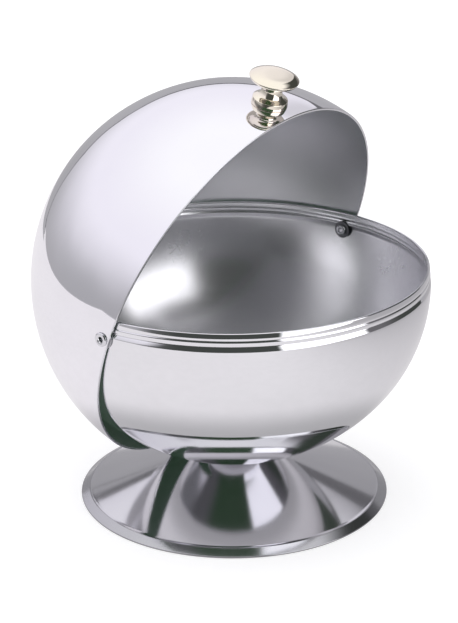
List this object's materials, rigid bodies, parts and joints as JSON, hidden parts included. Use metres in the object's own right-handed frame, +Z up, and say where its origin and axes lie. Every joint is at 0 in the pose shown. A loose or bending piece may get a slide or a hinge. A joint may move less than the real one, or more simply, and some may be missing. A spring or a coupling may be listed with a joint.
{
  "type": "roll-top sugar bowl",
  "caption": "Polished metal sugar bowl on a spun pedestal foot, with a domed cover that rolls back on side pivots and a small turned knob.",
  "frame": {"origin": "centre of the foot's standing ring, on the table", "axes": "+Z up; X along the line through the two pivot rivets; -Y towards the knob side, where the bowl opens; the cover stands rolled open at rest"},
  "size_m": [0.1236, 0.1212, 0.1392],
  "materials": {
    "bowl_steel": "mirror polished stainless steel",
    "cover_steel": "mirror polished stainless steel outside, satin inside",
    "foot_steel": "mirror polished stainless steel",
    "knob_brass": "polished, pale gold plated",
    "rivet_steel": "polished tubular rivet",
    "spacer_steel": "rolled shim",
    "washer_dark_steel": "dull, dark",
    "fastener_steel": "bright zinc-like, fine turned"
  },
  "bodies": {
    "base": {"bowl": "bowl_steel", "pedestal_foot": "foot_steel", "foot_stud": "fastener_steel", "foot_washer": "fastener_steel", "foot_nut": "fastener_steel", "pivot_rivet_left": "rivet_steel", "pivot_rivet_right": "rivet_steel", "pivot_spacer_left": "spacer_steel", "pivot_spacer_right": "spacer_steel", "pivot_washer_left": "washer_dark_steel", "pivot_washer_right": "washer_dark_steel"},
    "cover": {"roll_top_cover": "cover_steel", "knob": "knob_brass", "knob_screw": "fastener_steel", "knob_washer": "fastener_steel"}
  },
  "joints": [
    {"name": "cover_roll", "type": "hinge", "parent": "base", "child": "cover", "pos_m": [0, 0, 0.07], "axis": [1, 0, 0], "range_deg": [0, 66.4]}
  ]
}
